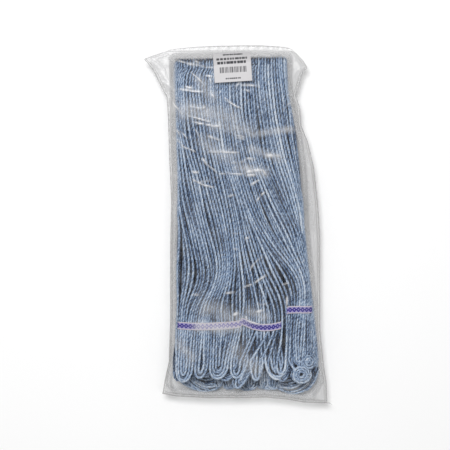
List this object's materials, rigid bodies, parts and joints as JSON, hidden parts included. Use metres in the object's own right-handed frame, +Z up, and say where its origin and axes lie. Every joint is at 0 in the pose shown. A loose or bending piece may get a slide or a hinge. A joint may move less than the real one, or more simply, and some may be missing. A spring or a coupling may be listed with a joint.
{
  "type": "string mop refill",
  "caption": "Looped-end string mop head folded double over its headband, with tail bands and a sewn scrub pad, lying flat in a clear poly bag with a blank label.",
  "frame": {"origin": "middle of the footprint, on the surface that the bagged mop lies on", "axes": "+X across the mop, +Y along the mop from the looped ends to the fold, +Z up from the table"},
  "size_m": [0.284, 0.54, 0.049],
  "materials": {
    "yarn": "four-ply twisted cotton and synthetic yarn, blue with lighter and darker flecks",
    "headband": "woven tape, indigo with pale selvedges",
    "band_tape": "woven tape, indigo zigzag between pale lilac edges",
    "thread": "polyester sewing thread",
    "scrub_pad": "coarse abrasive nonwoven fibre",
    "film": "clear, slightly milky polyethylene film, creased",
    "weld": "fused polyethylene film",
    "label": null
  },
  "bodies": {
    "bagged_mop": {"strand_bundle_1": "yarn", "strand_bundle_2": "yarn", "strand_bundle_3": "yarn", "strand_bundle_4": "yarn", "strand_bundle_5": "yarn", "strand_bundle_6": "yarn", "strand_bundle_7": "yarn", "strand_bundle_8": "yarn", "headband_outer_tape": "headband", "headband_inner_tape": "headband", "headband_left_hem": "headband", "headband_right_hem": "headband", "headband_stitching": "thread", "scrub_pad": "scrub_pad", "scrub_pad_stitching": "thread", "front_band_upper_tape": "band_tape", "front_band_lower_tape": "band_tape", "front_band_stitching": "thread", "back_band_upper_tape": "band_tape", "back_band_lower_tape": "band_tape", "back_band_stitching": "thread", "bag_back_film": "film", "bag_top_seal": "weld", "bag_bottom_seal": "weld", "bag_left_weld": "weld", "bag_right_weld": "weld"},
    "bag_front": {"bag_front_film": "film", "label": "label"}
  },
  "joints": [
    {"name": "bag_front_opens", "type": "hinge", "parent": "bagged_mop", "child": "bag_front", "pos_m": [0, 0.262, 0.02517], "axis": [-1, 0, 0], "range_deg": [0, 120]}
  ]
}
